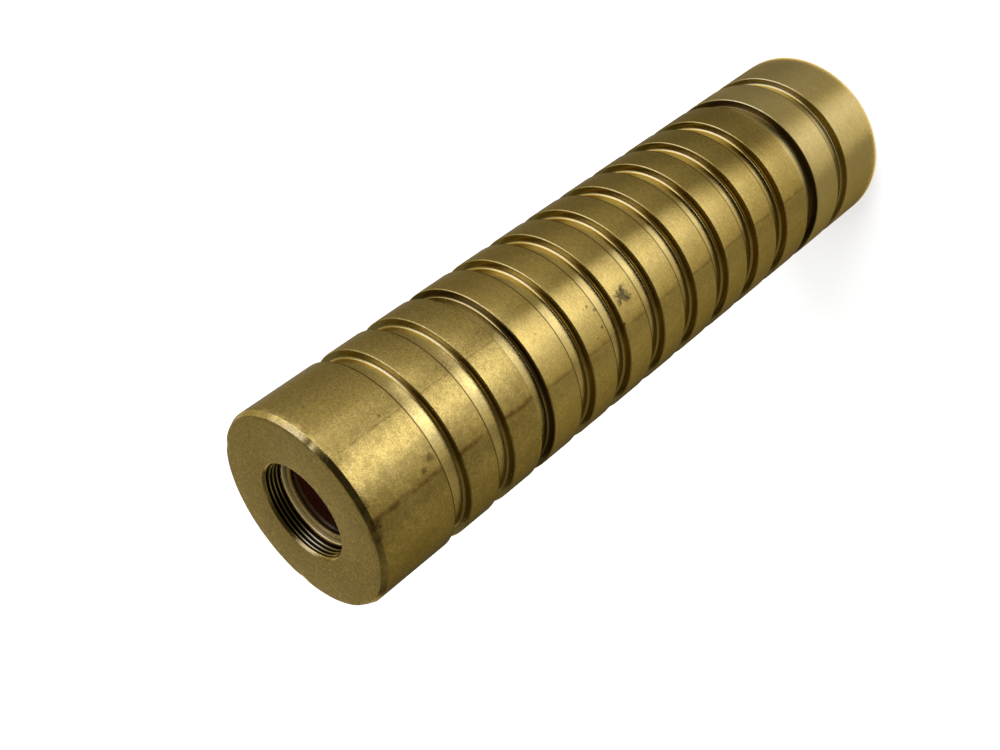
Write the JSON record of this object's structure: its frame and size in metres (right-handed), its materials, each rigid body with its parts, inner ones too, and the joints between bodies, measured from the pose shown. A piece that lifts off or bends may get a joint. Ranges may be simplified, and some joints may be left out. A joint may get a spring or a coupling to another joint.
{
  "type": "laser pointer",
  "caption": "Thick round brass laser pointer with turned grip grooves, a threaded beam port with a focusing lens cell, a screw-on tail cap and a recessed tail button.",
  "frame": {"origin": "centre of the tail cap's rim, on the surface that the pointer stands on", "axes": "+Z along the optical axis towards the beam port; X and Y square to it"},
  "size_m": [0.024, 0.024, 0.094],
  "materials": {
    "head_brass": "turned, satin, blotchy patina",
    "tube_brass": "turned, satin, lightly worn",
    "cap_brass": "turned, matte satin",
    "inner_brass": "turned",
    "contact_brass": "plated, bright",
    "button_brass": "turned, satin",
    "mount_brass": "turned",
    "coated_glass": "polished, dark red coating",
    "clear_glass": "polished",
    "diode_steel": "plated",
    "spring_steel": "drawn wire",
    "board_green": "glass fibre board, solder mask",
    "ferrite": "matte ferrite",
    "chip_black": "moulded epoxy",
    "capacitor_tan": "ceramic with tinned ends",
    "seal_rubber": "nitrile",
    "cell_sleeve": "shrink sleeve over a metal can",
    "switch_black": "moulded",
    "plunger_white": "moulded"
  },
  "bodies": {
    "cap": {"tail_cap": "cap_brass", "tail_seal": "seal_rubber", "tail_spring": "spring_steel", "switch_keeper": "inner_brass", "switch_board": "board_green", "switch_terminals": "contact_brass", "switch_housing": "switch_black", "switch_spring": "spring_steel", "battery_cell": "cell_sleeve"},
    "button": {"tail_button": "button_brass", "switch_plunger": "plunger_white"},
    "contact": {"positive_contact": "contact_brass"},
    "barrel": {"battery_tube": "tube_brass", "head": "head_brass", "head_seal": "seal_rubber", "board_keeper": "inner_brass", "driver_board": "board_green", "driver_inductor": "ferrite", "driver_chip": "chip_black", "driver_capacitors": "capacitor_tan", "diode_mount": "mount_brass", "laser_diode": "diode_steel", "diode_window": "clear_glass", "diode_pins": "contact_brass", "diode_clamp_ring": "inner_brass", "focus_spring": "spring_steel"},
    "lens": {"collimating_lens": "coated_glass"},
    "lens_barrel": {"lens_cell": "inner_brass", "lens_ring": "inner_brass"}
  },
  "joints": [
    {"name": "button_press", "type": "slide", "parent": "cap", "child": "button", "axis": [0, 0, 1], "range_m": [0, 0.0012], "stiffness_N_per_m": 1500, "springref_m": -0.0008, "deforming": ["switch_spring"]},
    {"name": "barrel_lift", "type": "slide", "parent": "cap", "child": "contact", "axis": [0, 0, 1], "range_m": [0, 0.006]},
    {"name": "barrel_turn", "type": "hinge", "parent": "contact", "child": "barrel", "pos_m": [0, 0, 0.0168], "axis": [0, 0, 1], "range_deg": [0, 2160]},
    {"name": "focus_travel", "type": "slide", "parent": "barrel", "child": "lens", "axis": [0, 0, 1], "range_m": [-0.001, 0.001], "deforming": ["focus_spring"]},
    {"name": "focus_turn", "type": "hinge", "parent": "lens", "child": "lens_barrel", "pos_m": [0, 0, 0.0859], "axis": [0, 0, 1], "range_deg": [-720, 720]}
  ],
  "couplings": [
    {"joint": "barrel_turn", "follows": "barrel_lift", "rad_per_m": 6283.2},
    {"joint": "focus_turn", "follows": "focus_travel", "rad_per_m": 12566}
  ]
}
